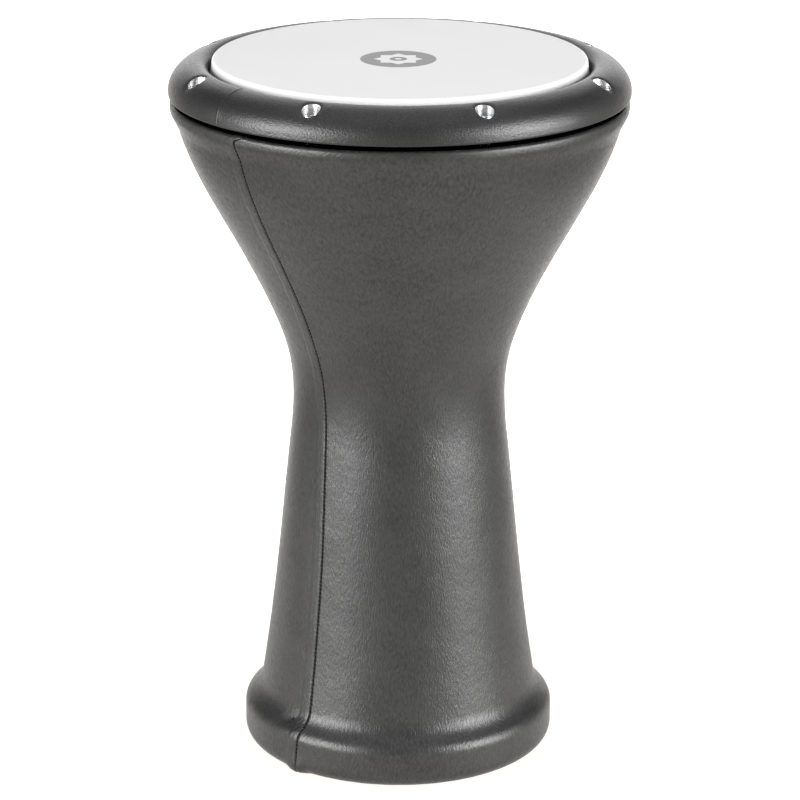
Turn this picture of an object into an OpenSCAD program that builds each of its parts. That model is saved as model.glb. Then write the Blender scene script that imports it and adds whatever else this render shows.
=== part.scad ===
// Darbuka: a cast aluminium goblet drum in a synthetic leather cover, with a
// film head that a leather-covered ring and eight hidden bolts pull tight.
// Millimetres. The origin is the middle of the foot's floor plane, +Z goes up
// the drum's axis, and the side towards -Y is the front.

/* [Foot] */
// Outer radius of the foot, over the cover
foot_r = 95.2; // [94.6:0.1:96.4]
// Rounding where the foot meets the floor
foot_corner = 9; // [7.5:0.1:9.2]
// Rounding of the foot's shoulder
shoulder_r = 9; // [8:0.5:10]
// Height of the middle of the shoulder's rounding
shoulder_z = 21; // [20:0.5:21.5]
// Hollow where the shoulder runs into the tube
hollow_r = 16; // [13:0.5:16.5]
// Inner radius of the foot ring
foot_in_r = 82; // [79:0.5:83]
// Radius at which the cover's turned-under hem ends
foot_hem_r = 85; // [84.5:0.1:85.3]

/* [Tube] */
// Height at which the tube rises out of the foot
tube_z = 39; // [38.5:0.5:42]
// Radius of the tube there, over the cover
tube_r = 84.6; // [84:0.1:84.8]
// Height of the tube's top, just under the waist
neck_z = 200; // [190:1:210]
// Radius there
neck_r = 65.9; // [63:0.1:69]
// Change of radius with height at the foot of the tube
tube_slope = -0.166; // [-0.18:0.002:-0.14]
// Change of radius with height at the tube's top
neck_slope = -0.11; // [-0.14:0.005:-0.06]

/* [Bowl] */
// Height at which the waist has turned into the bowl
flare_z = 260; // [250:1:270]
// Radius there
flare_r = 70.1; // [67:0.1:73]
// Change of radius with height there
flare_slope = 0.337; // [0.25:0.005:0.4]
// Height of the bowl's steepest flare
bowl_z = 330; // [320:1:340]
// Radius there
bowl_r = 103.7; // [100:0.1:107]
// Change of radius with height there
bowl_slope = 0.56; // [0.5:0.005:0.62]
// Height at which the rim springs from the bowl
crease_z = 389; // [388:0.2:390]
// Radius there
crease_r = 131.4; // [131:0.1:132]
// Change of radius with height there
crease_slope = 0.29; // [0.24:0.01:0.34]

/* [Rim] */
// Height of the covered body, to the top of its rim
body_h = 405.5; // [405:0.1:408]
// Outer radius of the rim, over the cover
rim_r = 136.7; // [136.2:0.1:137]
// Rounding of the rim's top edge
rim_corner = 2.2; // [1.6:0.1:2.6]
// Thickness of the synthetic leather
cover_t = 1.2; // [0.8:0.1:1.4]
// Radius at which the cover ends on top of the flange
rim_hem_r = 120; // [119.6:0.1:122]
// Wall thickness of the casting
wall_t = 4; // [3.5:0.1:5]

/* [Head] */
// Outer radius of the head at the bearing edge, over the film
head_r = 111.35; // [110.9:0.05:111.6]
// Rounding of the bearing edge, over the film
head_round = 1.8; // [1.2:0.1:2.4]
// Thickness of the film
film_t = 0.3; // [0.2:0.05:0.4]
// Wall thickness of the upstanding bearing edge
lip_w = 7; // [6.5:0.1:9]
// Angle by which the film's collar leans out from the axis
collar_lean = 7.5; // [6.5:0.5:7.5]

/* [Tuning ring] */
// Gap between the rim and the ring, both over their covers
ring_gap = 3; // [2:0.1:4]
// Height of the ring, over its cover
ring_h = 19.8; // [19.4:0.1:21]
// Inner radius of the ring, over its cover
ring_in_r = 113.2; // [112.9:0.1:113.5]
// Outer radius of the ring, over its cover
ring_r = 137.5; // [137.2:0.1:139]
// Thickness of the ring's synthetic leather
ring_cover_t = 0.8; // [0.6:0.1:1]
// Height of the head above the ring's inner edge
head_proud = 1.7; // [1:0.1:2]
// Rounding of the ring's inner edge, up to its crown
ring_edge = 6.6; // [5.5:0.1:7]
// Roundness of the ring's back: 2 is an ellipse, less is flatter
ring_power = 1.8; // [1.7:0.05:2.2]

/* [Bolts] */
// Radius of the circle through the bolts
bolt_circle = 127.4; // [127.2:0.1:127.6]
// Angle of the first bolt from the front, going right
first_bolt = 22; // [0:0.5:44]
// Length of a bolt under its head
bolt_l = 20; // [18:0.5:20]
// Radius of a counterbore
counterbore_r = 5.5; // [5.4:0.05:5.6]

/* [Seam] */
// Seam's angle from the front, going right, on the bowl
seam_top = -43.5; // [-60:0.5:-20]
// Seam's angle from the front on the tube and foot
seam_foot = -39; // [-60:0.5:-20]
// Distance from one stitch to the next
stitch_pitch = 5; // [4:0.5:8]
// Length of a stitch
stitch_l = 3.4; // [2:0.1:3.8]
// Radius of the thread
thread_r = 0.4; // [0.3:0.05:0.5]

/* [Hidden] */
$fn = 96;
over = 1;                                   // how far a cutter reaches past what it cuts

// Rim and flange
rim_round = 8;                              // rounding under the rim's side
rim_round_z = body_h - 3.5;                 // height of that rounding's middle
rim_hollow_r = 14;                          // hollow between bowl and rim
flange_top = body_h - cover_t;
flange_h = 12;

// Ring and head, from the rim upwards
ring_z = body_h + ring_gap;                 // underside of the ring's cover
ring_top = ring_z + ring_h;
drum_h = ring_top + head_proud;             // the playing surface
ring_side = 2.4;                            // straight height of the ring's side
ring_corner = 1.5;                          // rounding of the ring's lower edge
ring_hem_r = 131.2;                         // where the ring's cover ends below
ring_hem_z = ring_z + 11.5;                 // where it ends inside
ring_base = ring_z + ring_cover_t;          // underside of the metal ring
step_z = ring_z + 8.7;                      // face that presses on the hoop
step_r = ring_in_r + 5.6;                   // wall round the hoop
back_z = ring_z + ring_corner + ring_side;  // where the ring's side starts to turn in
back_r = ring_in_r + ring_edge;             // where the ring's back is level

// Bearing edge and film
edge_c = [head_r - head_round, drum_h - head_round];
lip_r = head_r - film_t;
lip_in_r = lip_r - lip_w;
lip_relief = 0.25;                          // draft of the lip's outer wall
collar_l = 16.5;                             // length of the collar below the edge
collar_dir = [sin(collar_lean), -cos(collar_lean)];
collar_top = edge_c + head_round * [cos(collar_lean), sin(collar_lean)];
collar_end = collar_top + collar_l * collar_dir;
film_in = film_t * [cos(collar_lean), sin(collar_lean)];

// Flesh hoop
hoop_h = 7.4;
hoop_wall = 1;
hoop_in_wall = 0.7;
hoop_floor = 0.8;
hoop_r = step_r - 0.6;
hoop_in_r = lip_r + 0.65;
hoop_z = step_z - hoop_h;
hoop_in_h = 5.2;                            // height of the channel's inner wall
resin_top = hoop_z + 5;
resin_gap = 0.05;                           // clearance of the resin round the collar
resin_drop = 0.4;                           // resin below the channel's inner wall

// Bolts: M6 socket head screws
bolts = 8;
thread_major_r = 2.95;
insert_bore_r = 3.02;
insert_r = 4;
insert_l = 9;
cover_hole_r = 4.4;                         // hole in the body's cover for a bolt
pilot_r = 3.2;
pilot_l = 10.7;
clearance_r = 3.3;
washer_r = 5.2;
washer_t = 1;
head_bolt_r = 4.9;
head_bolt_h = 6;
socket_flats = 5;
socket_depth = 3;
bolt_chamfer = 0.6;
seat_z = ring_z + 6.1;                      // floor of a counterbore
bolt_seat_z = seat_z + washer_t;            // underside of a bolt's head

leather = [0.13, 0.13, 0.135];
cast = [0.72, 0.73, 0.74];
steel = [0.80, 0.81, 0.82];

// ---- curves, all in [radius, height] ----

function arc(c, r, a0, a1, n) =
    [for (i = [0:n]) let(a = a0 + (a1 - a0) * i / n) c + r * [cos(a), sin(a)]];

function bend(a, b, c, n) = [for (i = [0:n]) let(t = i / n) (1 - t)^2 * a + 2 * t * (1 - t) * b + t^2 * c];

function reverse(p) = [for (i = [len(p) - 1:-1:0]) p[i]];

function smooth(t) = let(u = max(0, min(1, t))) u * u * (3 - 2 * u);

// Radius and slope on the cubic between two stations, each [height, radius, slope]
function cubic(a, b, z) =
    let(h = b[0] - a[0], t = (z - a[0]) / h)
    [(2 * t^3 - 3 * t^2 + 1) * a[1] + (t^3 - 2 * t^2 + t) * h * a[2]
        + (3 * t^2 - 2 * t^3) * b[1] + (t^3 - t^2) * h * b[2],
     (6 * t^2 - 6 * t) * a[1] / h + (3 * t^2 - 4 * t + 1) * a[2]
        + (6 * t - 6 * t^2) * b[1] / h + (3 * t^2 - 2 * t) * b[2]];

// Unit vector out of a wall whose radius changes by this much with height
function out_of(slope) = [1, -slope] / norm([1, -slope]);

stations = [
    [tube_z, tube_r, tube_slope],
    [neck_z, neck_r, neck_slope],
    [flare_z, flare_r, flare_slope],
    [bowl_z, bowl_r, bowl_slope],
    [crease_z, crease_r, crease_slope]];
station_steps = 11;

// The tube and bowl, moved in by d
function wall(d) = [for (k = [0:len(stations) - 2])
    for (i = [(k == 0 ? 0 : 1):station_steps])
        let(a = stations[k], b = stations[k + 1], z = a[0] + (b[0] - a[0]) * i / station_steps,
            q = cubic(a, b, z))
        [q[0], z] - d * out_of(q[1])];

// Middle of the hollow that leaves the wall at one station
function hollow_c(s, r) = [s[1], s[0]] + r * out_of(s[2]);

// Angle at which a rounding hands over to a hollow, for middles s and f and the sum of their radii
function turn(s, f, both) = let(v = f - s) atan2(abs(v[1]), v[0]) + asin(min(1, both / norm(v))) - 90;

foot_c = [foot_r - shoulder_r, shoulder_z];
foot_hollow_c = hollow_c(stations[0], hollow_r);
foot_turn = turn(foot_c, foot_hollow_c, shoulder_r + hollow_r);
tube_lean = atan(-tube_slope);
rim_c = [rim_r - rim_round, rim_round_z];
rim_hollow_c = hollow_c(stations[4], rim_hollow_r);
rim_turn = turn(rim_c, rim_hollow_c, rim_round + rim_hollow_r);
crease_lean = atan(crease_slope);

// The whole outside of the body, moved in by d, from the floor to the rim's top
function outside(d) = concat(
    arc([foot_r - foot_corner, foot_corner], foot_corner - d, -90, 0, 8),
    arc(foot_c, shoulder_r - d, 0, foot_turn, 9),
    arc(foot_hollow_c, hollow_r + d, 180 + foot_turn, 180 + tube_lean, 8),
    [for (i = [1:len(wall(d)) - 2]) wall(d)[i]],
    arc(rim_hollow_c, rim_hollow_r + d, 180 - crease_lean, 180 - rim_turn, 6),
    arc(rim_c, rim_round - d, -rim_turn, 0, 6),
    arc([rim_r - rim_corner, body_h - rim_corner], rim_corner - d, 0, 90, 6));

// The ring's outside, moved in by d, from its inner edge over its back to its underside
function ring_outside(d) = concat(
    arc([back_r, ring_top - ring_edge], ring_edge - d, 180, 90, 9),
    [for (i = [1:24]) let(a = 90 * i / 24)
        [back_r + (ring_r - back_r - d) * sin(a)^(2 / ring_power),
         back_z + (ring_top - back_z - d) * cos(a)^(2 / ring_power)]],
    arc([ring_r - ring_corner, ring_z + ring_corner], ring_corner - d, 0, -90, 6));

module turned(p) {
    rotate_extrude() polygon(p);
}

module at_bolt(k) {
    rotate([0, 0, first_bolt - 90 + 360 * k / bolts]) translate([bolt_circle, 0, 0]) children();
}

module at_bolts() {
    for (k = [0:bolts - 1]) at_bolt(k) children();
}

module rod(r, z, h) {
    translate([0, 0, z]) cylinder(r = r, h = h);
}

// ---- the goblet ----

module shell() {
    foot_chamfer = 0.8;
    foot_ring_h = 24;
    body_in = wall(cover_t + wall_t);
    first_in = 2;                           // the inner wall without its crowded end points
    last_in = len(body_in) - 4;
    lip_in_round = lip_w - (head_round - film_t);
    lip_foot = flange_top - flange_h + 5;
    lip_wall_top = drum_h - 6;
    fillet = [2, -2.4];                     // from the lip's foot towards the flange's underside
    fillet_run = 3;                         // and from the bowl's end the same way
    color(cast) difference() {
        turned(concat(
            [[foot_in_r + foot_chamfer, 0], [foot_hem_r, 0], [foot_hem_r, cover_t]],
            outside(cover_t),
            [[lip_r - lip_relief, flange_top], [lip_r - lip_relief, lip_wall_top]],
            arc(edge_c, head_round - film_t, collar_lean, 90, 8),
            arc([lip_in_r + lip_in_round, drum_h - film_t - lip_in_round], lip_in_round, 90, 180, 8),
            [[lip_in_r, lip_foot]],
            bend([lip_in_r, lip_foot] + fillet, [body_in[last_in][0] - fillet_run, flange_top - flange_h],
                body_in[last_in], 8),
            [for (i = [last_in - 1:-1:first_in]) body_in[i]],
            [[foot_in_r, foot_ring_h], [foot_in_r, foot_chamfer]]));
        at_bolts() rod(insert_r, flange_top - insert_l, insert_l + over);
        at_bolts() rod(pilot_r, flange_top - pilot_l, pilot_l);
    }
}

module body_cover() {
    color(leather) difference() {
        turned(concat(
            [[foot_hem_r, 0]],
            outside(0),
            [[rim_hem_r, body_h], [rim_hem_r, flange_top]],
            reverse(outside(cover_t)),
            [[foot_hem_r, cover_t]]));
        at_bolts() rod(cover_hole_r, flange_top - over, cover_t + 2 * over);
    }
}

// Seam's angle from the front at a height: it drifts round below the waist
seam_drift_z = 120;
seam_drift_h = 150;
function seam_angle(z) = seam_foot + (seam_top - seam_foot) * smooth((z - seam_drift_z) / seam_drift_h);

module seam_stitching() {
    line = outside(0);
    last = len(line) - 1;
    run = [for (i = 0, s = 0; i <= last;
        s = s + (i < last ? norm(line[i + 1] - line[i]) : 0), i = i + 1) s];
    r_at = [for (i = [0:last]) [run[i], line[i][0]]];
    z_at = [for (i = [0:last]) [run[i], line[i][1]]];
    start = 4;                              // the first stitch's distance from the floor
    end = 6;                                // and the last one's from the rim's top
    count = floor((run[last] - start - end) / stitch_pitch);
    thread_sides = 16;
    function spot(s) = let(r = lookup(s, r_at), z = lookup(s, z_at), a = seam_angle(z) - 90)
        [r * cos(a), r * sin(a), z];
    color([0.03, 0.03, 0.03]) for (k = [0:count - 1]) {
        p = spot(start + k * stitch_pitch);
        v = spot(start + k * stitch_pitch + stitch_l) - p;
        translate(p) rotate([0, acos(v[2] / norm(v)), atan2(v[1], v[0])])
            cylinder(r = thread_r, h = norm(v), $fn = thread_sides);
    }
}

module threaded_inserts() {
    color(steel) at_bolts() difference() {
        rod(insert_r, flange_top - insert_l, insert_l);
        rod(insert_bore_r, flange_top - insert_l - over, insert_l + 2 * over);
    }
}

// ---- the head ----

module head_membrane() {
    color([0.9, 0.9, 0.9]) turned(concat(
        [[0, drum_h - film_t]],
        arc(edge_c, head_round - film_t, 90, collar_lean, 8),
        [collar_end - film_in, collar_end],
        arc(edge_c, head_round, collar_lean, 90, 8),
        [[0, drum_h]]));
}

module head_hoop() {
    color(cast) turned([
        [hoop_in_r, hoop_z], [hoop_r, hoop_z], [hoop_r, step_z], [hoop_r - hoop_wall, step_z],
        [hoop_r - hoop_wall, hoop_z + hoop_floor], [hoop_in_r + hoop_in_wall, hoop_z + hoop_floor],
        [hoop_in_r + hoop_in_wall, hoop_z + hoop_in_h], [hoop_in_r, hoop_z + hoop_in_h]]);
}

module hoop_resin() {
    side = resin_gap * [cos(collar_lean), sin(collar_lean)];
    outer_foot = collar_end + side + resin_gap * collar_dir;
    inner_foot = collar_end - film_in - side + resin_gap * collar_dir;
    rise = (resin_top - outer_foot[1]) / collar_dir[1];
    in_rise = (resin_top - inner_foot[1]) / collar_dir[1];
    color([0.75, 0.66, 0.42]) turned([
        [hoop_in_r + hoop_in_wall, hoop_z + hoop_floor], [hoop_r - hoop_wall, hoop_z + hoop_floor],
        [hoop_r - hoop_wall, resin_top], outer_foot + rise * collar_dir, outer_foot,
        inner_foot, inner_foot + in_rise * collar_dir,
        [hoop_in_r + hoop_in_wall, hoop_z + hoop_in_h - resin_drop]]);
}

// ---- the tuning ring ----

module tuning_ring() {
    color(cast) difference() {
        turned(concat(
            [[step_r, ring_base], [step_r, step_z], [ring_in_r + ring_cover_t, step_z]],
            ring_outside(ring_cover_t)));
        at_bolts() rod(counterbore_r, seat_z, ring_h);
        at_bolts() rod(clearance_r, ring_base - over, ring_h);
    }
}

module ring_cover() {
    color(leather) difference() {
        turned(concat(
            [[ring_in_r + ring_cover_t, ring_hem_z], [ring_in_r, ring_hem_z]],
            ring_outside(0),
            [[ring_hem_r, ring_z], [ring_hem_r, ring_base]],
            reverse(ring_outside(ring_cover_t))));
        at_bolts() rod(counterbore_r, seat_z, ring_h);
    }
}

module bolt_washers() {
    color(steel) at_bolts() difference() {
        rod(washer_r, seat_z, washer_t);
        rod(clearance_r, seat_z - over, washer_t + 2 * over);
    }
}

module tuning_bolt(k) {
    tip_z = bolt_seat_z - bolt_l;
    top_z = bolt_seat_z + head_bolt_h;
    color(steel) at_bolt(k) difference() {
        turned([
            [0, tip_z], [thread_major_r - bolt_chamfer, tip_z], [thread_major_r, tip_z + bolt_chamfer],
            [thread_major_r, bolt_seat_z], [head_bolt_r, bolt_seat_z],
            [head_bolt_r, top_z - bolt_chamfer], [head_bolt_r - bolt_chamfer, top_z], [0, top_z]]);
        translate([0, 0, top_z - socket_depth])
            cylinder(r = socket_flats / 2 / cos(30), h = socket_depth + over, $fn = 6);
    }
}

shell();
body_cover();
seam_stitching();
threaded_inserts();
head_membrane();
head_hoop();
hoop_resin();
tuning_ring();
ring_cover();
bolt_washers();
tuning_bolt(0);  // tuning_bolt_1
tuning_bolt(1);  // tuning_bolt_2
tuning_bolt(2);  // tuning_bolt_3
tuning_bolt(3);  // tuning_bolt_4
tuning_bolt(4);  // tuning_bolt_5
tuning_bolt(5);  // tuning_bolt_6
tuning_bolt(6);  // tuning_bolt_7
tuning_bolt(7);  // tuning_bolt_8
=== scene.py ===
from math import asin, atan2, cos, degrees, hypot, pi, radians, sin, tau

import bpy
import numpy as np
from mathutils import Matrix, Vector


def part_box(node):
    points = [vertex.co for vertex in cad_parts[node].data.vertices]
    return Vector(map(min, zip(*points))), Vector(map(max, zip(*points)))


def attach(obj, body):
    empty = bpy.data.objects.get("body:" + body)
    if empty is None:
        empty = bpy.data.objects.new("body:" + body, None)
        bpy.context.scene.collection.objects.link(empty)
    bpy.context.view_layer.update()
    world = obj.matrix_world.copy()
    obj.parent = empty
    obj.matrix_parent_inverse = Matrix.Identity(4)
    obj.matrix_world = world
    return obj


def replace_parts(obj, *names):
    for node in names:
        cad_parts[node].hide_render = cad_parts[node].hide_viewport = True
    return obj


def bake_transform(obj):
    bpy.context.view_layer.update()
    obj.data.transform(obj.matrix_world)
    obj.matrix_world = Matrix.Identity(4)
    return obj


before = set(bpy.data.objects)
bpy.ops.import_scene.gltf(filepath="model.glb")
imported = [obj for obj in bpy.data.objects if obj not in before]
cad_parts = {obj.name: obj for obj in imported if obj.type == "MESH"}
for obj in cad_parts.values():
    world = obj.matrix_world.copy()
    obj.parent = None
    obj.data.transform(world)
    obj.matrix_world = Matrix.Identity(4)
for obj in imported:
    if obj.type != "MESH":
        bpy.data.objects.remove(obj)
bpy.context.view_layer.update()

# The looks of a darbuka in synthetic leather. Outlines are [radius, height] in
# millimetres, as in the CAD, and angles run from the front (-Y) going right.
MM = 0.001

# ---- sizes: the frame's, and the rest as the CAD has them ----


def top(node):
    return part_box(node)[1].z / MM


def bottom(node):
    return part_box(node)[0].z / MM


def reach(node):
    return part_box(node)[1].x / MM


BODY_TOP = top("body_cover")
RIM_R = reach("body_cover")
RING_TOP = top("ring_cover")
RING_Z = bottom("ring_cover")
RING_R = reach("ring_cover")
DRUM_TOP = top("head_membrane")
SEAT_Z = bottom("bolt_washers")

FOOT_R, FOOT_CORNER = 95.2, 9
SHOULDER_R, SHOULDER_Z, HOLLOW_R = 9, 21, 16
FOOT_HEM_R, RIM_HEM_R = 85, 120
COVER_T, RING_COVER_T, FILM_T = 1.2, 0.8, 0.3
RIM_ROUND, RIM_HOLLOW_R, RIM_CORNER = 8, 14, 2.2
RIM_DROP = 3.5                   # middle of the rim's rounding below its top
# Height, radius and slope where the wall's curves meet
STATIONS = ((39, 84.6, -0.166),
            (200, 65.9, -0.11),
            (260, 70.1, 0.337),
            (330, 103.7, 0.56),
            (389, 131.4, 0.29))

HEAD_R, HEAD_ROUND, COLLAR_LEAN, COLLAR_L = 111.35, 1.8, 7.5, 16.5
RING_IN_R, RING_EDGE, RING_SIDE, RING_CORNER = 113.2, 6.6, 2.4, 1.5
RING_POWER = 1.8
RING_HEM_R, RING_HEM_Z = 131.2, RING_Z + 11.5

BOLTS, BOLT_CIRCLE, FIRST_BOLT = 8, 127.4, 22
COUNTERBORE_R, COVER_HOLE_R = 5.5, 4.4
BOLT_L, BOLT_HEAD_H, BOLT_HEAD_R, THREAD_R = 20, 6, 4.9, 2.95
SOCKET_FLATS, SOCKET_DEPTH, WASHER_T = 5, 3, 1

SEAM_TOP, SEAM_FOOT = radians(-43.5), radians(-39)
STITCH_PITCH = 2.5
BOLT_ANGLES = [radians(FIRST_BOLT) + tau * k / BOLTS for k in range(BOLTS)]

# ---- curves ----


def smooth(a, b, x):
    """0 below a, 1 above b, and a soft step between them."""
    t = np.clip((np.asarray(x, float) - a) / (b - a), 0, 1)
    return t * t * (3 - 2 * t)


def bell(x, width):
    return np.exp(-((np.asarray(x, float) / width) ** 2))


def arc(centre, r, start, end, steps=24):
    a = np.radians(np.linspace(start, end, steps + 1))
    return np.stack([centre[0] + r * np.cos(a), centre[1] + r * np.sin(a)], 1)


def wall(d, steps=48):
    """The tube and bowl, moved in by d: cubics between the stations."""
    points = []
    for (z0, r0, m0), (z1, r1, m1) in zip(STATIONS, STATIONS[1:]):
        h = z1 - z0
        t = np.linspace(0, 1, steps + 1)[1:]
        r = ((2 * t**3 - 3 * t**2 + 1) * r0 + (t**3 - 2 * t**2 + t) * h * m0
             + (3 * t**2 - 2 * t**3) * r1 + (t**3 - t**2) * h * m1)
        m = ((6 * t**2 - 6 * t) * (r0 - r1) / h + (3 * t**2 - 4 * t + 1) * m0 + (3 * t**2 - 2 * t) * m1)
        size = np.sqrt(1 + m * m)
        points.append(np.stack([r - d / size, z0 + h * t + d * m / size], 1))
    return np.concatenate(points)[:-1]


def hollow(station, r):
    """Middle of the hollow that leaves the wall at a station."""
    z, radius, slope = station
    out = np.array([1, -slope]) / hypot(1, slope)
    return np.array([radius, z]) + r * out


def turn(rounding, hollow_c, both):
    """Angle at which a rounding hands over to a hollow."""
    v = np.asarray(hollow_c) - rounding
    return degrees(atan2(abs(v[1]), v[0]) + asin(min(1, both / hypot(*v)))) - 90


def outside(d):
    """The body's outside from the floor to the rim's top, moved in by d."""
    foot_c = (FOOT_R - SHOULDER_R, SHOULDER_Z)
    foot_hollow = hollow(STATIONS[0], HOLLOW_R)
    foot_turn = turn(foot_c, foot_hollow, SHOULDER_R + HOLLOW_R)
    rim_c = (RIM_R - RIM_ROUND, BODY_TOP - RIM_DROP)
    rim_hollow = hollow(STATIONS[-1], RIM_HOLLOW_R)
    rim_turn = turn(rim_c, rim_hollow, RIM_ROUND + RIM_HOLLOW_R)
    tube_lean = degrees(atan2(-STATIONS[0][2], 1))
    crease_lean = degrees(atan2(STATIONS[-1][2], 1))
    corner_c = (FOOT_R - FOOT_CORNER, FOOT_CORNER)
    top_c = (RIM_R - RIM_CORNER, BODY_TOP - RIM_CORNER)
    return np.concatenate([
        arc(corner_c, FOOT_CORNER - d, -90, 0),
        arc(foot_c, SHOULDER_R - d, 0, foot_turn),
        arc(foot_hollow, HOLLOW_R + d, 180 + foot_turn, 180 + tube_lean),
        wall(d),
        arc(rim_hollow, RIM_HOLLOW_R + d, 180 - crease_lean, 180 - rim_turn),
        arc(rim_c, RIM_ROUND - d, -rim_turn, 0),
        arc(top_c, RIM_CORNER - d, 0, 90)])


def ring_outside(d):
    """The ring's outside from its inner edge over its back to its underside, moved in by d."""
    back_r, back_z = RING_IN_R + RING_EDGE, RING_Z + RING_CORNER + RING_SIDE
    a = np.radians(np.linspace(0, 90, 121)[1:])
    back = np.stack([back_r + (RING_R - back_r - d) * np.sin(a) ** (2 / RING_POWER),
                     back_z + (RING_TOP - back_z - d) * np.cos(a) ** (2 / RING_POWER)], 1)
    return np.concatenate([
        arc((back_r, RING_TOP - RING_EDGE), RING_EDGE - d, 180, 90),
        back,
        arc((RING_R - RING_CORNER, RING_Z + RING_CORNER), RING_CORNER - d, 0, -90)])


class Path:
    """A section's outline, by the length run along it. Its outside lies to the right of the run."""

    def __init__(self, points):
        points = np.asarray(points, float)
        step = np.hypot(*np.diff(points, axis=0).T)
        points = points[np.concatenate([[True], step > 1e-6])]
        self.points = points
        self.step = np.hypot(*np.diff(points, axis=0).T)
        self.run = np.concatenate([[0], np.cumsum(self.step)])
        self.length = self.run[-1]
        along = np.diff(points, axis=0) / self.step[:, None]
        self.heading = np.unwrap(np.arctan2(along[:, 1], along[:, 0]))
        self.middle = (self.run[1:] + self.run[:-1]) / 2

    def at(self, s):
        return np.interp(s, self.run, self.points[:, 0]), np.interp(s, self.run, self.points[:, 1])

    def normal(self, s):
        a = np.interp(s, self.middle, self.heading)
        return np.sin(a), -np.cos(a)

    def rows(self, step, turned):
        """Places along the run at most a step apart, with at most this turn in degrees between them."""
        bend = np.abs(np.gradient(self.heading, self.middle))
        weight = np.maximum(1 / step, bend / radians(turned))
        total = np.concatenate([[0], np.cumsum(weight * self.step)])
        return np.interp(np.linspace(0, total[-1], int(total[-1]) + 2), total, self.run)


# ---- meshes ----


class Net:
    """Points, faces and the grain's coordinates of one closed mesh, in millimetres. Back faces are marked."""

    def __init__(self):
        self.points, self.grain, self.faces, self.backs = [], [], [], []

    def add(self, points, grain=0.0):
        """Adds a block of points and returns their numbers in the block's own shape."""
        start = len(self.points)
        shape = points.shape[:-1]
        self.points.extend(points.reshape(-1, 3).tolist())
        self.grain.extend(np.broadcast_to(grain, shape + (2,)).reshape(-1, 2).tolist())
        return np.arange(start, len(self.points)).reshape(shape)

    def face(self, loop, back=False):
        self.faces.append([int(i) for i in loop])
        self.backs.append(back)

    def quads(self, block, skip=None, back=False):
        """Faces between a block's neighbours. They face out where columns run right and rows run on."""
        a, b, c, d = block[:-1, :-1], block[:-1, 1:], block[1:, 1:], block[1:, :-1]
        quads = np.stack([a, b, c, d], -1)
        keep = np.ones(quads.shape[:2], bool) if skip is None else ~skip
        self.faces.extend(quads[keep].tolist())
        self.backs.extend([back] * int(keep.sum()))

    def fan(self, loop, centre):
        """Closes a loop of points with triangles to a point in its middle."""
        middle = int(self.add(np.array([centre], float))[0])
        for a, b in zip(loop[:-1], loop[1:]):
            self.face((a, b, middle))

    def hole(self, outer, lining, rows, columns, angle, hole_r, surface, rings=5):
        """Closes in on a round hole, where a rectangle of faces was left out of a sheet's two layers."""
        centre = place(BOLT_CIRCLE, angle, 0)[:2]
        (first_row, last_row), (first, last) = rows, columns
        circles = []
        for block, is_lining in ((outer, False), (lining, True)):
            loop = [block[first_row, j] for j in range(first, last)]
            loop += [block[i, last] for i in range(first_row, last_row)]
            loop += [block[last_row, j] for j in range(last, first, -1)]
            loop += [block[i, first] for i in range(last_row, first_row, -1)]
            plan = np.array([self.points[i][:2] for i in loop]) - centre
            far = np.hypot(*plan.T)
            share = np.linspace(1, 0, rings + 1)[1:, None] ** 1.5
            distance = hole_r + (far - hole_r) * share
            spots = centre + distance[..., None] * (plan / far[:, None])
            points, grain = surface(spots, distance, is_lining)
            numbers = np.concatenate([[loop], self.add(points, grain)])
            numbers = np.concatenate([numbers, numbers[:, :1]], 1)
            self.quads(numbers[:, ::-1] if is_lining else numbers, back=is_lining)
            circles.append(numbers[-1])
        self.quads(np.stack(circles))

    def piece(self, name, material, grain_turn=None, sharp=50, back=None, painted_shade_span=None):
        """The finished object. grain_turn is the grain's whole width, where it wraps round.

        The back's faces have the material given by back, and so do the outer faces at lengths within the
        given span, where that material is painted shade.
        """
        mesh = bpy.data.meshes.new(name)
        mesh.from_pydata((np.array(self.points) * MM).tolist(), [], self.faces)
        mesh.shade_smooth()
        mesh.set_sharp_from_angle(angle=radians(sharp))
        if grain_turn:
            corners = np.zeros(len(mesh.loops), np.int32)
            starts, counts = (np.zeros(len(mesh.polygons), np.int32) for _ in range(2))
            mesh.loops.foreach_get("vertex_index", corners)
            mesh.polygons.foreach_get("loop_start", starts)
            mesh.polygons.foreach_get("loop_total", counts)
            uv = np.array(self.grain)[corners]
            most = np.repeat(np.maximum.reduceat(uv[:, 0], starts), counts)
            uv[:, 0] += np.where(most - uv[:, 0] > grain_turn / 2, grain_turn, 0)
            layer = mesh.uv_layers.new(name="grain")
            layer.data.foreach_set("uv", (uv * MM).astype(np.float32).ravel())
        mesh.materials.append(material)
        if back:
            mesh.materials.append(back)
            along = np.add.reduceat(uv[:, 1], starts) / counts
            back_and_shade_faces = np.array(self.backs) | ((along > painted_shade_span[0]) & (along < painted_shade_span[1]))
            mesh.polygons.foreach_set("material_index", back_and_shade_faces.astype(np.int32))
        obj = bpy.data.objects.new(name, mesh)
        bpy.context.scene.collection.objects.link(obj)
        return obj


def place(r, azimuth, z):
    r, azimuth, z = np.broadcast_arrays(r, azimuth, z)
    return np.stack([r * np.sin(azimuth), -r * np.cos(azimuth), z], -1)


def closed(row):
    return np.concatenate([row, row[..., :1]], -1)


def uneven(seed, waves, most_around, shortest, longest):
    """A repeatable soft unevenness of a sheet: a sum of ripples that stays between about -1 and 1."""
    rng = np.random.default_rng(seed)
    around = rng.integers(1, most_around, waves)
    up = tau / rng.uniform(shortest, longest, waves) * rng.choice([-1, 1], waves)
    phase = rng.uniform(0, tau, waves)
    size = rng.uniform(0.5, 1, waves)

    def height(azimuth, s):
        total = sum(h * np.cos(n * azimuth + k * s + p) for n, k, p, h in zip(around, up, phase, size))
        return total / size.sum() * 2.5

    return height


# ---- the body's leather ----

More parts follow.
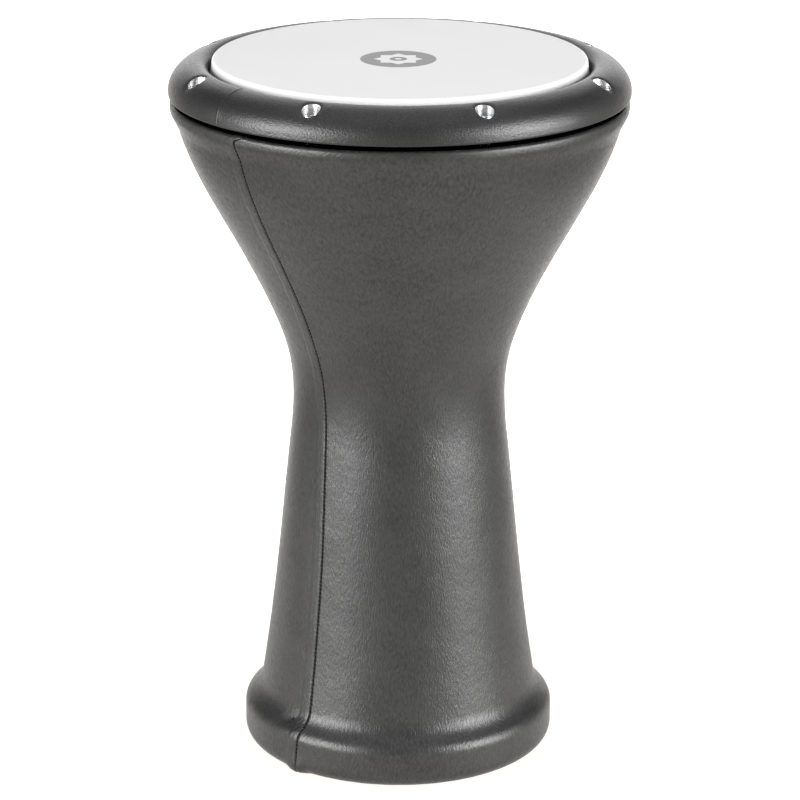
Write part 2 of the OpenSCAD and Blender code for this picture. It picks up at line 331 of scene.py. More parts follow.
# Distances from the seam of the close columns on either side of it
NEAR_STEPS = (0, 0.25, 0.5, 0.75, 1.05, 1.4, 1.9, 2.5, 3.2, 4,
              4.9, 5.7, 6.3, 6.9, 7.5, 8.1, 8.8, 9.8, 10.9, 12)
NEAR = np.array([-x for x in NEAR_STEPS[:0:-1]] + list(NEAR_STEPS))
NEAR_ROWS = 3                    # rows there for each row elsewhere
FAR_COLUMNS = 168
LINING_STEP = 4                  # the lining has every fourth row
GRAIN_R = 90.0                   # radius at which the grain has its own width
WAVE_H, RIPPLE_H = 0.11, 0.03    # of the sheet's unevenness
PLEATS, PLEAT_H = 44, 0.45       # round the hem under the foot
BODY_HOLE_GAP = 1.8              # from a bolt's hole to the nearest whole face
FLOOR_L = FOOT_R - FOOT_CORNER - FOOT_HEM_R
FLANGE_L = RIM_R - RIM_CORNER - RIM_HEM_R
body_path = Path(np.concatenate([[[FOOT_HEM_R, 0]], outside(0), [[RIM_HEM_R, BODY_TOP]]]))
body_waves = uneven(3, 26, 12, 28, 130)
body_ripples = uneven(5, 30, 40, 9, 30)


def seam_azimuth(z):
    """The seam drifts round below the waist, and turns into the gap at the rim."""
    drift = SEAM_FOOT + (SEAM_TOP - SEAM_FOOT) * smooth(120, 270, z)
    foot = radians(-1.6) * (1 - smooth(8, 40, z))
    rim = radians(2.6) * smooth(BODY_TOP - 4.5, BODY_TOP, z) ** 2
    return drift + foot + rim


def seam_relief(d, s):
    """Height of the leather at a distance right of the seam: a rounded panel edge meets a raised strip."""
    right, left = np.maximum(d, 0), np.maximum(-d, 0)
    panel = 0.5 * (1 - np.exp(-right / 0.45)) * np.exp(-right / 5)
    strip = (0.42 + 0.14 * bell(left - 2.2, 2)) * (1 - np.exp(-left / 0.4)) * (1 - smooth(6.2, 8.4, left))
    groove = 0.42 * bell(d, 0.6)
    pulled = 0.05 * np.cos(tau * s / STITCH_PITCH) * bell(np.abs(d) - 1, 0.8)
    return panel + strip - groove - pulled


# Distance right of the seam, height, lean, depth and width of each crease and dent
GATHER_CREASES = ((-5.4, 30.5, 0.9, 0.3, 0.7),
                  (-7.6, 31.2, 0.8, 0.26, 0.8),
                  (-3.6, 29.2, 1.0, 0.2, 0.6),
                  (-14, 30.5, 1.6, 0.7, 2.2))


def foot_gather(d, z):
    """Creases where the sheet is gathered into the foot's hollow, left of the seam."""
    height = 0.25 * bell(d + 7, 6) * bell(z - 26, 5)
    for across, up, lean, depth, wide in GATHER_CREASES:
        off = (d - across - lean * (z - up)) / hypot(1, lean)
        height = height - depth * bell(off, wide) * bell(z - up, 3.6)
    return height


def seam_bulk(d, r, z, s):
    """The seam's folded layers square off the foot's corner and push it out."""
    squarer, out = 3.0, 0.8
    share = smooth(-15, -2, d) * (1 - smooth(0, 8, d))
    share = share * (1 - smooth(FOOT_CORNER, 15, z)) * smooth(0, FLOOR_L, s)
    angle = np.clip((s - FLOOR_L) / FOOT_CORNER, 0, pi / 2) - pi / 2
    return r + share * (out + squarer * (1 - np.cos(angle))), z - share * squarer * (1 + np.sin(angle))


def body_leather(s, turned, lining=False):
    """Points of the leather at lengths along the outline and angles on from the seam, and their grain."""
    s, turned = np.broadcast_arrays(s, turned)
    r, z = body_path.at(s)
    out_r, out_z = body_path.normal(s)
    azimuth = seam_azimuth(z) + turned
    grain = np.stack([turned * GRAIN_R, s], -1)
    if lining:
        return place(r - COVER_T * out_r, azimuth, z - COVER_T * out_z), grain
    d = np.where(turned > pi, turned - tau, turned) * r
    hem = body_path.length - s
    open_face = smooth(2, 20, s) * smooth(8, 22, hem)
    height = open_face * (WAVE_H * body_waves(azimuth, s) + RIPPLE_H * body_ripples(azimuth, s))
    height = height + seam_relief(d, s) * smooth(0, 4, s) * smooth(2, 8, hem) + foot_gather(d, z)
    pleats = 0.5 + 0.5 * np.cos(turned * PLEATS + 1.3 * np.sin(turned * 5))
    height = height - PLEAT_H * pleats * (1 - smooth(1, 7.5, s))
    r, z = seam_bulk(d, r + out_r * height, z + out_z * height, s)
    return place(r, azimuth, np.maximum(z, 0)), grain


def bolt_spans(turned, seam, half):
    """For each bolt, the first and last of these columns that stand clear of it on either side."""
    spans = []
    for angle in BOLT_ANGLES:
        at = (angle - seam) % tau
        first = int(np.searchsorted(turned, at - half)) - 1
        last = int(np.searchsorted(turned, at + half))
        spans.append((angle, first, last))
    return spans


def make_body_cover(material, back):
    net = Net()
    s = body_path.rows(2.25, 8)
    count = len(s)
    near_s = np.interp(np.arange((count - 1) * NEAR_ROWS + 1) / NEAR_ROWS, np.arange(count), s)

    def near(s):
        return NEAR / body_path.at(s)[0][:, None] % tau

    def far(s):
        edge = NEAR[-1] / body_path.at(s)[0][:, None]
        return edge + (tau - 2 * edge) * np.arange(1, FAR_COLUMNS + 1) / (FAR_COLUMNS + 1)

    strip = net.add(*body_leather(near_s[:, None], near(near_s)))
    rest = net.add(*body_leather(s[:, None], far(s)))
    on_flange = s > body_path.length - FLANGE_L
    inner_rows = np.flatnonzero(on_flange | (np.arange(count) % LINING_STEP == 0))
    inner_s = s[inner_rows]
    lining = net.add(*body_leather(inner_s[:, None], np.concatenate([near(inner_s), far(inner_s)], 1), True))
    near_lining, far_lining = lining[:, :len(NEAR)], lining[:, len(NEAR):]

    # A rectangle of faces is left out round each bolt, which passes through the hem on the flange
    half = COVER_HOLE_R + BODY_HOLE_GAP
    radius = body_path.at(s)[0]
    held = np.flatnonzero(on_flange & (np.abs(radius - BOLT_CIRCLE) < half + 0.5))
    rows = (held[0], held[-1])
    inner = (int(np.searchsorted(inner_rows, rows[0])), int(np.searchsorted(inner_rows, rows[1])))
    seam = float(seam_azimuth(BODY_TOP))
    at_bolts = far(body_path.length - np.array([BOLT_CIRCLE - RIM_HEM_R]))[0]
    spans = bolt_spans(at_bolts, seam, half / BOLT_CIRCLE)
    skip = np.zeros((count - 1, FAR_COLUMNS - 1), bool)
    inner_skip = np.zeros((len(inner_rows) - 1, FAR_COLUMNS - 1), bool)
    for _, first, last in spans:
        skip[rows[0]:rows[1], first:last] = True
        inner_skip[inner[0]:inner[1], first:last] = True

    net.quads(strip)
    net.quads(rest, skip)
    for i in range(count - 1):
        span = strip[i * NEAR_ROWS:(i + 1) * NEAR_ROWS + 1].tolist()
        net.face([row[-1] for row in span[::-1]] + [rest[i, 0], rest[i + 1, 0]])
        net.face([row[0] for row in span] + [rest[i + 1, -1], rest[i, -1]])
    net.quads(near_lining[::-1], back=True)
    net.quads(far_lining[::-1], inner_skip[::-1], back=True)
    net.quads(np.stack([near_lining[:, -1], far_lining[:, 0]], 1)[::-1], back=True)
    net.quads(np.stack([far_lining[:, -1], near_lining[:, 0]], 1)[::-1], back=True)

    def hem(spots, distance, is_lining):
        radius = np.hypot(spots[..., 0], spots[..., 1])
        turned = (np.arctan2(spots[..., 0], -spots[..., 1]) - seam) % tau
        run = body_path.length - (radius - RIM_HEM_R)
        return body_leather(run, turned, is_lining)

    for angle, first, last in spans:
        net.hole(rest[rows[0]:rows[1] + 1], far_lining[inner[0]:inner[1] + 1], (0, rows[1] - rows[0]),
                 (first, last), angle, COVER_HOLE_R, hem, rings=2)

    # The cut edges at the two hems
    first_row = closed(np.concatenate([strip[0], rest[0]]))
    last_row = closed(np.concatenate([strip[-1], rest[-1]]))
    net.quads(np.stack([closed(lining[0]), first_row]))
    net.quads(np.stack([last_row, closed(lining[-1])]))
    # Painted shade: the leather on the rim's top, in the gap under the ring, takes the black backing.
    painted_shade_span = (body_path.length - FLANGE_L, body_path.length + 1)
    return net.piece("body_leather", material, tau * GRAIN_R, back=back, painted_shade_span=painted_shade_span)


def make_stitches(material):
    """Arched stitches of thick thread that lie in the seam's groove and dip in at their ends."""
    net = Net()
    length, thread_r, sides, rings = 1.7, 0.5, 10, 9
    rng = np.random.default_rng(11)
    for s0 in np.arange(3.0, body_path.length - 3.5, STITCH_PITCH):
        t = np.linspace(-1, 1, rings)
        s = s0 + length / 2 * t
        r, z = body_path.at(s)
        out_r, out_z = body_path.normal(s)
        arch = 0.04 - 0.4 * t ** 4 + rng.uniform(-0.04, 0.04)
        skew = radians(rng.uniform(3, 8)) * length / 2 * t / r
        core = place(r + out_r * arch, seam_azimuth(z) + skew, z + out_z * arch)
        along = np.gradient(core, axis=0)
        along /= np.linalg.norm(along, axis=1)[:, None]
        azimuth = seam_azimuth(z)
        out = np.stack([out_r * np.sin(azimuth), -out_r * np.cos(azimuth), out_z], -1)
        side = np.cross(along, out)
        girth = thread_r * np.sqrt(np.clip(1 - np.abs(t) ** 3, 0.02, 1))
        a = np.linspace(0, tau, sides + 1)[:-1]
        ring = (core[:, None] + girth[:, None, None]
                * (np.cos(a)[:, None] * side[:, None] + np.sin(a)[:, None] * out[:, None]))
        numbers = closed(net.add(ring))
        net.quads(numbers[:, ::-1])
        net.fan(numbers[0], core[0])
        net.fan(numbers[-1][::-1], core[-1])
    return net.piece("seam_thread", material, sharp=80)


# ---- the ring's leather ----

RING_JOINT = radians(-49)
RING_COLUMNS = 288
ring_path = Path(np.concatenate([[[RING_HEM_R, RING_Z]], ring_outside(0)[::-1], [[RING_IN_R, RING_HEM_Z]]]))
ring_waves = uneven(8, 24, 26, 14, 60)


def ring_leather(s, turned, lining=False, distance=None):
    """Points of the ring's leather, and their grain. Near a counterbore it thins down to the metal."""
    s, turned = np.broadcast_arrays(s, turned)
    r, z = ring_path.at(s)
    out_r, out_z = ring_path.normal(s)
    azimuth = RING_JOINT + turned
    grain = np.stack([turned * GRAIN_R, s], -1)
    if lining:
        return place(r - RING_COVER_T * out_r, azimuth, z - RING_COVER_T * out_z), grain
    d = np.where(turned > pi, turned - tau, turned) * r
    height = 0.05 * ring_waves(azimuth, s) - 0.4 * bell(d, 0.3) + 0.1 * bell(np.abs(d) - 1.0, 0.6)
    height = height * smooth(0, 3, s) * smooth(0, 3, ring_path.length - s)
    if distance is not None:
        height = height - (RING_COVER_T - 0.12) * bell(distance - COUNTERBORE_R, 1.1)
    return place(r + out_r * height, azimuth, z + out_z * height), grain


def make_ring_cover(material, back):
    net = Net()
    s = ring_path.rows(1.6, 7)
    joint = np.array([0.12, 0.26, 0.42, 0.62, 0.9, 1.3, 1.8]) / RING_R
    turned = np.concatenate([[0], joint, np.arange(1, RING_COLUMNS) * tau / RING_COLUMNS, tau - joint[::-1]])
    leather = net.add(*ring_leather(s[:, None], turned[None]))
    lining = net.add(*ring_leather(s[:, None], turned[None], True))
    radius, height = ring_path.at(s)
    above = height > RING_Z + RING_CORNER + RING_SIDE
    reach_out, reach_in = BOLT_CIRCLE + COUNTERBORE_R + 3.4, BOLT_CIRCLE - COUNTERBORE_R - 3.2
    held = np.flatnonzero(above & (radius < reach_out) & (radius > reach_in))
    rows = (held[0], held[-1])
    spans = bolt_spans(turned, RING_JOINT, (COUNTERBORE_R + 3) / BOLT_CIRCLE)
    skip = np.zeros((len(s) - 1, len(turned)), bool)
    for _, first, last in spans:
        skip[rows[0]:rows[1], first:last] = True
    net.quads(closed(leather), skip)
    net.quads(closed(lining)[::-1], skip[::-1], back=True)
    dense = np.linspace(s[rows[0]] - 2, s[rows[1]] + 2, 400)
    dense_r = ring_path.at(dense)[0]

    def surface(spots, distance, is_lining):
        radius = np.hypot(spots[..., 0], spots[..., 1])
        if is_lining:
            lean = ring_path.normal(dense)[0]
            run = np.interp(radius, (dense_r - RING_COVER_T * lean)[::-1], dense[::-1])
        else:
            run = np.interp(radius, dense_r[::-1], dense[::-1])
        around = (np.arctan2(spots[..., 0], -spots[..., 1]) - RING_JOINT) % tau
        return ring_leather(run, around, is_lining, distance)

    for angle, first, last in spans:
        net.hole(leather, lining, rows, (first, last), angle, COUNTERBORE_R, surface, rings=8)
    net.quads(np.stack([closed(lining[0]), closed(leather[0])]))
    net.quads(np.stack([closed(leather[-1]), closed(lining[-1])]))
    # Painted shade: the ring's underside, in the gap over the rim, takes the black backing.
    painted_shade_span = (-1, RING_R - RING_CORNER - RING_HEM_R)
    return net.piece("ring_leather", material, tau * GRAIN_R, back=back, painted_shade_span=painted_shade_span)


# ---- the head ----

PRINT_R, PRINT_X, PRINT_Y = 22.5, -1.0, -6.0
STAR_HALF, EYE_IN_R, EYE_OUT_R = 10.4, 2.0, 5.2


def make_head(material):
    """The film: flat over the bearing edge, with a soft edge and a collar that leans out into the hoop."""
    net = Net()
    columns = 240
    lean = radians(COLLAR_LEAN)
    edge = np.array([HEAD_R - HEAD_ROUND, DRUM_TOP - HEAD_ROUND])
    collar_top = edge + HEAD_ROUND * np.array([cos(lean), sin(lean)])
    collar_end = collar_top + COLLAR_L * np.array([sin(lean), -cos(lean)])
    middle_r = 5
    rounding = arc(edge, HEAD_ROUND, COLLAR_LEAN, 90)
    path = Path(np.concatenate([[collar_end], rounding, [[middle_r, DRUM_TOP]]]))
    s = path.rows(7, 7)
    azimuth = np.linspace(0, tau, columns, endpoint=False)[None]
    r, z = (v[:, None] for v in path.at(s))
    out_r, out_z = (v[:, None] for v in path.normal(s))
    face = closed(net.add(place(r, azimuth, z)))
    back = closed(net.add(place(r - FILM_T * out_r, azimuth, z - FILM_T * out_z)))
    net.quads(face)
    net.quads(back[::-1])
    net.quads(np.stack([back[0], face[0]]))
    net.fan(face[-1], (0, 0, DRUM_TOP))
    net.fan(back[-1][::-1], (0, 0, DRUM_TOP - FILM_T))
    return net.piece("head_film", material, sharp=60)


def make_print(material):
    """A plain printed disc with an eight-pointed star left open in it, and a small ring in the star."""
    net = Net()
    thick, count = 0.04, 192
    a = np.linspace(0, tau, count, endpoint=False)

    def square(turned):
        return STAR_HALF / np.maximum(np.abs(np.cos(a + turned)), np.abs(np.sin(a + turned)))

    star = np.maximum(square(0), square(pi / 4))
    low, high = DRUM_TOP, DRUM_TOP + thick
    for inner, outer in ((star, PRINT_R), (EYE_IN_R, EYE_OUT_R)):
        rings = []
        for radius, z in ((inner, low), (outer, low), (outer, high), (inner, high)):
            x = PRINT_X + radius * np.cos(a)
            y = PRINT_Y + radius * np.sin(a)
            rings.append(net.add(np.stack([x, y, np.full(count, z)], -1)))
        net.quads(closed(np.stack(rings + rings[:1])))
    return net.piece("head_print", material, sharp=30)


# ---- bolts ----


def make_bolt(k, material):
    """A socket head screw: knurled head, hexagon socket with a drilled bottom, and a rolled thread."""
    net = Net()
    columns, pitch, chamfer = 72, 1.0, 0.6
    seat = SEAT_Z + WASHER_T
    tip = seat - BOLT_L
    a = np.linspace(0, tau, columns, endpoint=False)
    ridge = np.where(np.arange(columns) % 2 == 0, 0.0, -0.16)
    rows = []

    def ring(radius, z):
        rows.append((np.broadcast_to(radius, columns), np.broadcast_to(z, columns)))

    ring(THREAD_R - 0.9, tip)
    thread_z = np.arange(tip + 0.15, seat - 1.0, pitch / 6)
    for z in thread_z:
        wave = np.abs(((z / pitch - a / tau) % 1) * 2 - 1)
        start = min(1.0, (z - tip) / chamfer)
        ring(np.minimum(THREAD_R - 0.6 * np.clip(wave * 1.3 - 0.15, 0, 1), THREAD_R - 0.7 * (1 - start)), z)
    ring(THREAD_R, seat - 0.6)
    ring(THREAD_R, seat)
    ring(BOLT_HEAD_R - 0.2, seat)
    top_z = seat + BOLT_HEAD_H
    ring(BOLT_HEAD_R + ridge, seat + 0.25)
    ring(BOLT_HEAD_R + ridge, top_z - chamfer - 0.35)
    ring(BOLT_HEAD_R - 0.12, top_z - chamfer)
    ring(BOLT_HEAD_R - chamfer * 0.6, top_z - 0.12)
    ring(BOLT_HEAD_R - chamfer, top_z)
    flat = SOCKET_FLATS / 2
    hexagon = flat / np.cos((a + pi / 6) % (pi / 3) - pi / 6)
    ring(np.maximum(hexagon, flat * 1.13) + 0.05, top_z)
    ring(hexagon, top_z - 0.35)
    ring(hexagon, top_z - SOCKET_DEPTH)
    ring(flat * 0.9, top_z - SOCKET_DEPTH - 0.15)
    radius, z = (np.array(v) for v in zip(*rows))
    numbers = closed(net.add(np.stack([radius * np.cos(a), radius * np.sin(a), z], -1)))
    net.quads(numbers)
    net.fan(numbers[-1], (0, 0, top_z - SOCKET_DEPTH - 0.9))
    net.fan(numbers[0][::-1], (0, 0, tip))
    bolt = net.piece(f"bolt_{k + 1}", material, sharp=28)
    x, y, _ = place(BOLT_CIRCLE, BOLT_ANGLES[k], 0) * MM
    turned = radians(37 * k + 11)
    bolt.data.transform(Matrix.Translation((x, y, 0)) @ Matrix.Rotation(turned, 4, "Z"))
    return bolt


# ---- materials ----

# Painted glow of the floor, which is no lamp: of the table, of the sweep straight behind it, and of the floor
# all round
TABLE_GLOW, SWEEP_GLOW, EDGE_GLOW = 0.92, 2.2, 0.35


class Shader:
    """A material's node tree with its Principled shader, and short ways to add to it."""

    def __init__(self, name, **sockets):
        self.material = bpy.data.materials.new(name)
        self.material.use_nodes = True
        self.tree = self.material.node_tree
        self.surface = self.tree.nodes["Principled BSDF"]
        for socket, value in sockets.items():
            self.surface.inputs[socket.replace("_", " ")].default_value = value

    def node(self, kind, settings=None, **inputs):
        node = self.tree.nodes.new("ShaderNode" + kind)
        for key, value in (settings or {}).items():
            setattr(node, key, value)
        for socket, value in inputs.items():
            self.feed(node.inputs[socket.replace("_", " ")], value)
        return node

    def feed(self, socket, value):
        if isinstance(value, bpy.types.NodeSocket):
            self.tree.links.new(value, socket)
        else:
            socket.default_value = value

    def math(self, operation, a, b=0.0, c=0.0):
        node = self.tree.nodes.new("ShaderNodeMath")
        node.operation = operation
        for socket, value in zip(node.inputs, (a, b, c)):
            self.feed(socket, value)
        return node.outputs[0]

    def noise(self, where, scale, detail=2.0, roughness=0.5, distortion=0.0):
        return self.node("TexNoise", Vector=where, Scale=scale, Detail=detail, Roughness=roughness,
                         Distortion=distortion).outputs["Fac"]

    def spread(self, value, low, high, to_low, to_high):
        """Maps a value from one range to another."""
        return self.node("MapRange", Value=value, From_Min=low, From_Max=high, To_Min=to_low,
                         To_Max=to_high).outputs[0]

    def ramp(self, value, *stops):
        node = self.node("ValToRGB", Fac=value)
        elements = node.color_ramp.elements
        while len(elements) < len(stops):
            elements.new(0.5)
        for element, (position, colour) in zip(elements, stops):
            element.position = position
            element.color = (*colour, 1)
        return node.outputs[0]

    def bump(self, height, distance, strength=1.0, under=None):
        inputs = {"Height": height, "Distance": distance, "Strength": strength}
        if under is not None:
            inputs["Normal"] = under
        return self.node("Bump", **inputs).outputs[0]

    def finish(self, **sockets):
        for socket, value in sockets.items():
            self.feed(self.surface.inputs[socket.replace("_", " ")], value)
        return self.material


def leather_material(name, tone, pebbles, stretch):
    """Dark synthetic leather: wandering pebbles and wrinkles a millimetre wide, and a satin finish."""
    m = Shader(name, Specular_IOR_Level=0.5)
    grain = m.node("UVMap", {"uv_map": "grain"}).outputs[0]
    drift = m.node("TexNoise", Vector=grain, Scale=55, Detail=1.0).outputs["Color"]
    wander = m.node("VectorMath", {"operation": "MULTIPLY_ADD"})
    for socket, value in zip(wander.inputs, (drift, (0.006, 0.006, 0.0), grain)):
        m.feed(socket, value)
    slant = m.node("Mapping", Vector=wander.outputs[0], Rotation=(0, 0, radians(14)),
                   Scale=(1, stretch, 1)).outputs[0]
    wrinkle = m.noise(slant, pebbles * 0.9, 1.5, 0.5, 0.4)
    pebble = m.node("TexVoronoi", {"feature": "SMOOTH_F1"}, Vector=slant, Scale=pebbles,
                    Smoothness=0.5).outputs[0]
    fine = m.noise(grain, 2600, 2, 0.6)
    soft = m.noise(grain, 150, 2, 0.5)
    height = m.math("ADD", m.math("MULTIPLY_ADD", pebble, -0.35, wrinkle), m.math("MULTIPLY", fine, 0.1))
    cloud = m.noise(grain, 28, 3, 0.55)
    tint = m.math("MULTIPLY_ADD", height, 0.8, m.math("MULTIPLY", cloud, 0.4))
    dark, light = [tuple(tone * share * k for k in (1.0, 0.99, 0.975)) for share in (0.4, 1.7)]
    colour = m.ramp(tint, (0.3, dark), (0.7, light))
    rough = m.spread(height, 0.0, 0.6, 0.48, 0.33)
    normal = m.bump(height, 0.00022, 0.75, under=m.bump(soft, 0.0004, 0.3))
    return m.finish(Base_Color=colour, Roughness=rough, Normal=normal)


def backing_and_painted_shade_material():
    """The cloth back of the leather, matt black with a fine knit, also laid as painted shade on the leather's
    strips in the gap between rim and ring.
    """
    m = Shader("leather_back_and_painted_shade", Roughness=1.0, Specular_IOR_Level=0.0)
    grain = m.node("UVMap", {"uv_map": "grain"}).outputs[0]
    knit = m.node("TexBrick", Vector=grain, Scale=700).outputs["Fac"]
    fluff = m.noise(grain, 2400, 2, 0.6)
    height = m.math("MULTIPLY_ADD", knit, -0.7, fluff)
    return m.finish(Base_Color=m.ramp(fluff, (0.3, (0.001, 0.001, 0.001)), (0.7, (0.003, 0.003, 0.003))),
                    Normal=m.bump(height, 0.0002, 0.6))


def thread_material():
    m = Shader("thread", Roughness=0.75, Specular_IOR_Level=0.12)
    where = m.node("NewGeometry").outputs["Position"]
    ply = m.noise(where, 5200, 2, 0.6)
    return m.finish(Base_Color=m.ramp(ply, (0.35, (0.002, 0.002, 0.002)), (0.7, (0.007, 0.007, 0.007))),
                    Normal=m.bump(ply, 0.00005, 0.6))


def film_material():
    """White coated film: smooth, with a fine even tooth."""
    m = Shader("head_film", Specular_IOR_Level=0.2)
    where = m.node("NewGeometry").outputs["Position"]
    tooth = m.noise(where, 2600, 3, 0.6)
    cloud = m.noise(where, 9, 2, 0.5)
    return m.finish(Base_Color=m.ramp(cloud, (0.3, (0.665, 0.665, 0.665)), (0.7, (0.69, 0.69, 0.69))),
                    Roughness=m.spread(tooth, 0.3, 0.7, 0.5, 0.6), Normal=m.bump(tooth, 0.00002, 0.5))


def ink_material():
    m = Shader("ink", Specular_IOR_Level=0.4)
    where = m.node("NewGeometry").outputs["Position"]
    screen = m.noise(where, 1500, 3, 0.65)
    return m.finish(Base_Color=m.ramp(screen, (0.3, (0.105, 0.105, 0.108)), (0.7, (0.135, 0.135, 0.138))),
                    Roughness=m.spread(screen, 0.3, 0.7, 0.4, 0.55))


def cast_material():
    """Sand-cast aluminium: grainy skin with soft blotches."""
    m = Shader("cast_aluminium", Metallic=1.0)
    where = m.node("NewGeometry").outputs["Position"]
    sand = m.noise(where, 900, 4, 0.65)
    blotch = m.noise(where, 40, 3, 0.6)
    colour = m.ramp(blotch, (0.3, (0.43, 0.435, 0.44)), (0.7, (0.6, 0.605, 0.61)))
    return m.finish(Base_Color=colour, Roughness=m.spread(blotch, 0.3, 0.7, 0.62, 0.46),
                    Normal=m.bump(sand, 0.0004, 0.7, under=m.bump(blotch, 0.0012, 0.5)))


def turned_material(name, low, high, rough, lines):
    """Metal with fine lines left by turning, which run round the drum's axis."""
    m = Shader(name, Metallic=1.0)
    where = m.node("NewGeometry").outputs["Position"]
    split = m.node("SeparateXYZ", Vector=where)
    x_squared, y_squared = (m.math("POWER", split.outputs[i], 2.0) for i in range(2))
    radius = m.math("SQRT", m.math("ADD", x_squared, y_squared))
    across = m.node("CombineXYZ", X=radius, Y=split.outputs[2]).outputs[0]
    marks = m.noise(across, lines, 3, 0.7)
    cloud = m.noise(where, 180, 3, 0.6)
    return m.finish(Base_Color=m.ramp(cloud, (0.3, low), (0.7, high)),
                    Roughness=m.spread(marks, 0.3, 0.7, rough - 0.07, rough + 0.07),
                    Normal=m.bump(marks, 0.00006, 0.6))


def plated_material():
    """Bright zinc plate, faintly cloudy. The threads below the seat are coloured near black as painted shade
    of the dark gap.
    """
    m = Shader("zinc_plate", Metallic=1.0)
    where = m.node("NewGeometry").outputs["Position"]
    cloud = m.noise(where, 700, 3, 0.6)
    height = m.node("SeparateXYZ", Vector=where).outputs[2]
    # Painted shade: near black below the seat, where the threads cross the dark gap.
    painted_shade_below_seat = m.spread(height, SEAT_Z * MM - 0.003, SEAT_Z * MM - 0.005, 0.0, 1.0)
    plate = m.ramp(cloud, (0.3, (0.62, 0.63, 0.65)), (0.7, (0.78, 0.78, 0.79)))
    colour = m.node("MixRGB", Fac=painted_shade_below_seat, Color1=plate, Color2=(0.012, 0.011, 0.01, 1)).outputs[0]
    return m.finish(Base_Color=colour, Roughness=m.spread(cloud, 0.3, 0.7, 0.2, 0.34),
                    Normal=m.bump(cloud, 0.00004, 0.4))


def resin_material():
    m = Shader("resin", Specular_IOR_Level=0.5)
    where = m.node("NewGeometry").outputs["Position"]
    flow = m.noise(where, 120, 3, 0.6)
    return m.finish(Base_Color=m.ramp(flow, (0.3, (0.42, 0.3, 0.12)), (0.7, (0.58, 0.45, 0.22))),
                    Roughness=m.spread(flow, 0.3, 0.7, 0.18, 0.35), Normal=m.bump(flow, 0.0002, 0.4))


def floor_material():
    """A floor of low grey tone that glows by itself as painted light, with no lamp under it: brighter
    straight behind the drum and darker all round, so that hardly any shadow shows on it.
    """
    m = Shader("floor", Specular_IOR_Level=0.2, Roughness=0.7)
    m.surface.inputs["Emission Color"].default_value = (1, 0.97, 0.93, 1)
    where = m.node("NewGeometry").outputs["Position"]
    cloud = m.noise(where, 3, 3, 0.5)
    split = m.node("SeparateXYZ", Vector=where)
    behind, off = split.outputs[1], m.math("ABSOLUTE", split.outputs[0])
    lean = m.math("DIVIDE", off, m.math("MAXIMUM", behind, 0.01))
    sweep = m.math("MULTIPLY", m.spread(lean, 0.75, 0.45, 0.0, 1.0), m.spread(behind, 0.15, 0.5, 0.0, 1.0))
    side = m.math("MULTIPLY_ADD", m.math("MAXIMUM", behind, 0.0), -0.12, off)
    table = m.math("MULTIPLY", m.spread(side, 0.55, 0.36, 0.0, 1.0), m.spread(behind, -0.75, -0.4, 0.0, 1.0))
    glow = m.spread(sweep, 0.0, 1.0, m.spread(table, 0.0, 1.0, EDGE_GLOW, TABLE_GLOW), SWEEP_GLOW)
    return m.finish(Base_Color=m.ramp(cloud, (0.3, (0.14, 0.14, 0.14)), (0.7, (0.16, 0.16, 0.16))),
                    Emission_Strength=glow)


# ---- the drum ----

backing_and_painted_shade = backing_and_painted_shade_material()
body_cover = make_body_cover(leather_material("body_leather", 0.014, 1000, 0.38), backing_and_painted_shade)
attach(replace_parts(body_cover, "body_cover"), "shell")
stitches = make_stitches(thread_material())
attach(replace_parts(stitches, "seam_stitching"), "shell")
# The ring's leather is set darker than the body's, partly as its own tone and partly as painted shade for the
# dark band on the ring.
ring_cover = make_ring_cover(leather_material("ring_leather", 0.011, 1350, 0.75), backing_and_painted_shade)
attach(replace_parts(ring_cover, "ring_cover"), "tuning_ring")
head = make_head(film_material())
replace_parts(head, "head_membrane")
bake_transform(head)
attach(make_print(ink_material()), "shell")
zinc = plated_material()
for k in range(BOLTS):
    node = f"tuning_bolt_{k + 1}"
    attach(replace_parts(make_bolt(k, zinc), node), node)

machined = turned_material("machined_ring", (0.66, 0.665, 0.67), (0.8, 0.8, 0.805), 0.3, 2600)
rolled = turned_material("rolled_hoop", (0.55, 0.555, 0.56), (0.66, 0.665, 0.67), 0.35, 1500)
steel = turned_material("insert_steel", (0.46, 0.46, 0.465), (0.56, 0.56, 0.565), 0.32, 3000)
cad_materials = {
    "shell": cast_material(),
    "tuning_ring": machined,
    "head_hoop": rolled,
    "hoop_resin": resin_material(),
    "threaded_inserts": steel,
    "bolt_washers": zinc}
for node, material in cad_materials.items():
    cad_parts[node].data.materials.clear()
    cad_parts[node].data.materials.append(material)

# ---- studio ----

# Light from the room, by height on a unit sphere, and from the white backdrop, by depth behind
SKY = ((0.0, 0.35), (0.3, 0.2), (0.62, 0.0), (1.0, 0.03))
BACKDROP = (0.85, 0.99, 0.0, 2.6)
# Softboxes: name, angle from the front, distance, width and height, height of the middle, and radiance
BOXES = (("left_box", -57, 2.0, (1.4, 1.4), 0.7, 13.5),
         ("right_box", 62, 2.0, (1.3, 1.4), 0.7, 15.5))
# The light high up behind: place, what it faces, width and depth, and radiance
HIGH_BACK = ((0, 2.2, 2.3), (0, 0, 0.4), (2.6, 1.2), 1.6)
FLOOR_HALF, FLOOR_Z = 40.0, -0.0003
CAMERA_PLACE = (0.00062, -2.054346, 0.8814267)
CAMERA_TILT, CAMERA_ROLL, CAMERA_LENS = 72.066, 0.003, 159.25     # degrees, radians, millimetres


def light(name, place_at, aim, size, radiance):
    data = bpy.data.lights.new(name, "AREA")
    data.shape = "RECTANGLE"
    data.size, data.size_y = size
    data.energy = radiance * pi * size[0] * size[1]
    obj = bpy.data.objects.new(name, data)
    bpy.context.scene.collection.objects.link(obj)
    obj.location = place_at
    obj.rotation_euler = (Vector(aim) - Vector(place_at)).to_track_quat("-Z", "Y").to_euler()


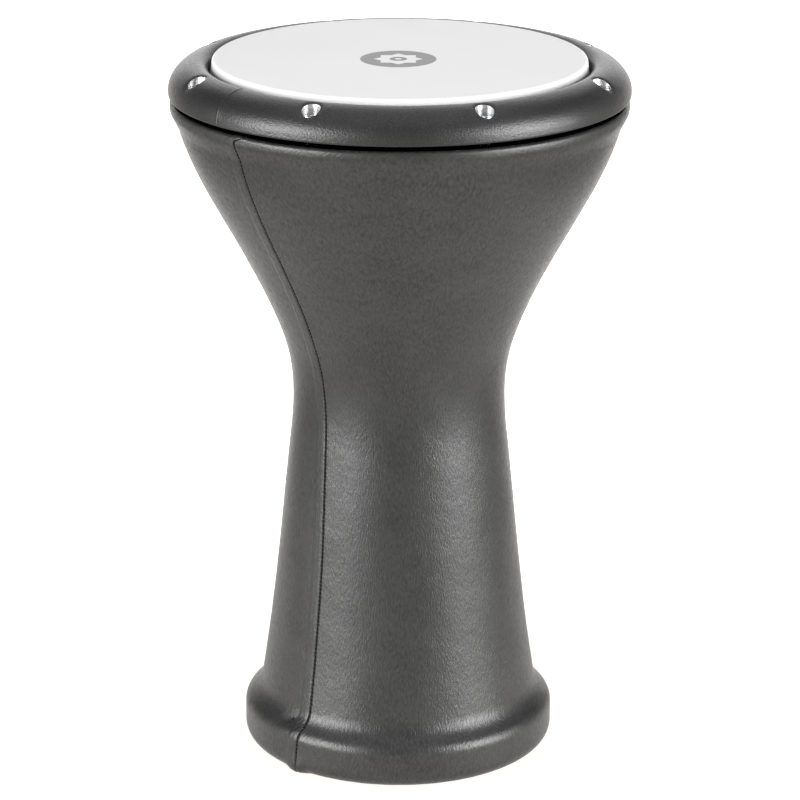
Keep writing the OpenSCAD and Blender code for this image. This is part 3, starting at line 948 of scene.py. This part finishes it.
def make_floor():
    corners = [(x * FLOOR_HALF, y * FLOOR_HALF, FLOOR_Z) for x, y in ((-1, -1), (1, -1), (1, 1), (-1, 1))]
    mesh = bpy.data.meshes.new("floor")
    mesh.from_pydata(corners, [], [(0, 1, 2, 3)])
    mesh.materials.append(floor_material())
    floor = bpy.data.objects.new("floor", mesh)
    bpy.context.scene.collection.objects.link(floor)


def make_surroundings():
    """The light of the room and the backdrop, from every direction."""
    world = bpy.data.worlds.new("studio")
    world.use_nodes = True
    tree = world.node_tree
    way = tree.nodes.new("ShaderNodeSeparateXYZ")
    tree.links.new(tree.nodes.new("ShaderNodeTexCoord").outputs["Generated"], way.inputs[0])
    height = tree.nodes.new("ShaderNodeValToRGB")
    ramp = height.color_ramp
    ramp.interpolation = "EASE"
    for position, level in SKY:
        element = ramp.elements.new(position)
        element.color = (level, level, level, 1)
    ramp.elements.remove(ramp.elements[0])
    ramp.elements.remove(ramp.elements[-1])
    tree.links.new(way.outputs[2], height.inputs[0])
    behind = tree.nodes.new("ShaderNodeMapRange")
    behind.interpolation_type = "SMOOTHSTEP"
    for socket, value in zip(("From Min", "From Max", "To Min", "To Max"), BACKDROP):
        behind.inputs[socket].default_value = value
    tree.links.new(way.outputs[1], behind.inputs[0])
    total = tree.nodes.new("ShaderNodeMath")
    tree.links.new(height.outputs[0], total.inputs[0])
    tree.links.new(behind.outputs[0], total.inputs[1])
    tree.links.new(total.outputs[0], tree.nodes["Background"].inputs["Strength"])
    tree.nodes["Background"].inputs["Color"].default_value = (1, 1, 1, 1)
    bpy.context.scene.world = world


def make_lights():
    for name, azimuth, distance, size, middle, radiance in BOXES:
        a = radians(azimuth)
        place_at = (distance * sin(a), -distance * cos(a), middle)
        light(name, place_at, (0, 0, middle - 0.1), size, radiance)
    light("high_back", *HIGH_BACK)


def make_camera():
    data = bpy.data.cameras.new("camera")
    data.sensor_width, data.lens = 36, CAMERA_LENS
    camera = bpy.data.objects.new("camera", data)
    bpy.context.scene.collection.objects.link(camera)
    camera.matrix_world = (Matrix.Translation(CAMERA_PLACE)
                           @ Matrix.Rotation(radians(CAMERA_TILT), 4, "X")
                           @ Matrix.Rotation(CAMERA_ROLL, 4, "Z"))
    bpy.context.scene.camera = camera
    bpy.context.scene.view_settings.view_transform = "Standard"


make_floor()
make_surroundings()
make_lights()
make_camera()
